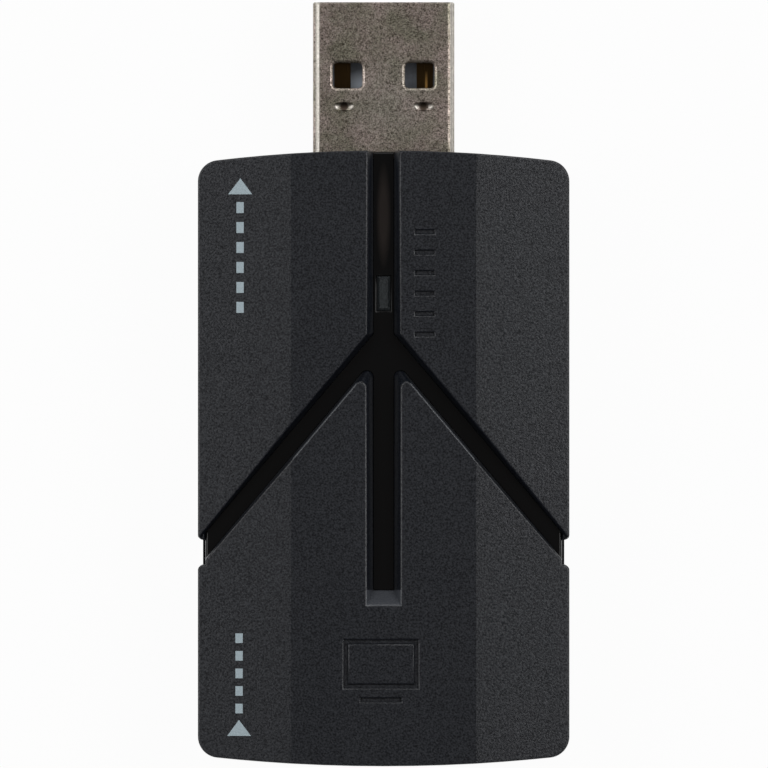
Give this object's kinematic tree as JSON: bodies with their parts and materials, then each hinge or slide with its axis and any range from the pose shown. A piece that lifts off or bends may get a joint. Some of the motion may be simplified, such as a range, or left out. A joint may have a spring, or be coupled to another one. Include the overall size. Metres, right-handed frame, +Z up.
{
  "type": "video capture box",
  "caption": "Stick-sized video capture box: faceted black case with a Y-shaped glossy channel, a flat data plug at one end and a video socket at the other.",
  "frame": {"origin": "centre of the case's flat underside", "axes": "+Y along the case towards the plug, +X to the right seen from above, +Z up"},
  "size_m": [0.0316, 0.0648, 0.013],
  "materials": {
    "case_plastic": "fine spark-eroded texture",
    "inlay_plastic": "high gloss",
    "window_plastic": "smoky, clear",
    "plug_steel": "matt rolled",
    "socket_steel": "bright rolled",
    "insulator_plastic": "smooth",
    "gilt_contact": "gilt",
    "board_laminate": "lacquered",
    "chip_resin": "moulded",
    "tinned_lead": "tinned",
    "crystal_can": "plated",
    "ferrite": "sintered",
    "capacitor_ceramic": "fired",
    "light_resin": "clear moulded"
  },
  "bodies": {
    "root": {"upper_shell": "case_plastic", "lower_shell": "case_plastic", "groove_inlay": "inlay_plastic", "status_light_guide": "window_plastic", "plug_shell": "plug_steel", "socket_shell": "socket_steel", "plug_insulator": "insulator_plastic", "socket_insulator": "insulator_plastic", "power_contact": "gilt_contact", "data_minus_contact": "gilt_contact", "data_plus_contact": "gilt_contact", "ground_contact": "gilt_contact", "socket_upper_contacts": "gilt_contact", "socket_lower_contacts": "gilt_contact", "circuit_board": "board_laminate", "capture_chip": "chip_resin", "memory_chip": "chip_resin", "voltage_regulator": "chip_resin", "surge_protectors": "chip_resin", "resistors": "chip_resin", "capture_chip_leads": "tinned_lead", "memory_chip_leads": "tinned_lead", "crystal": "crystal_can", "power_inductor": "ferrite", "capacitors": "capacitor_ceramic", "status_light": "light_resin"}
  },
  "joints": []
}
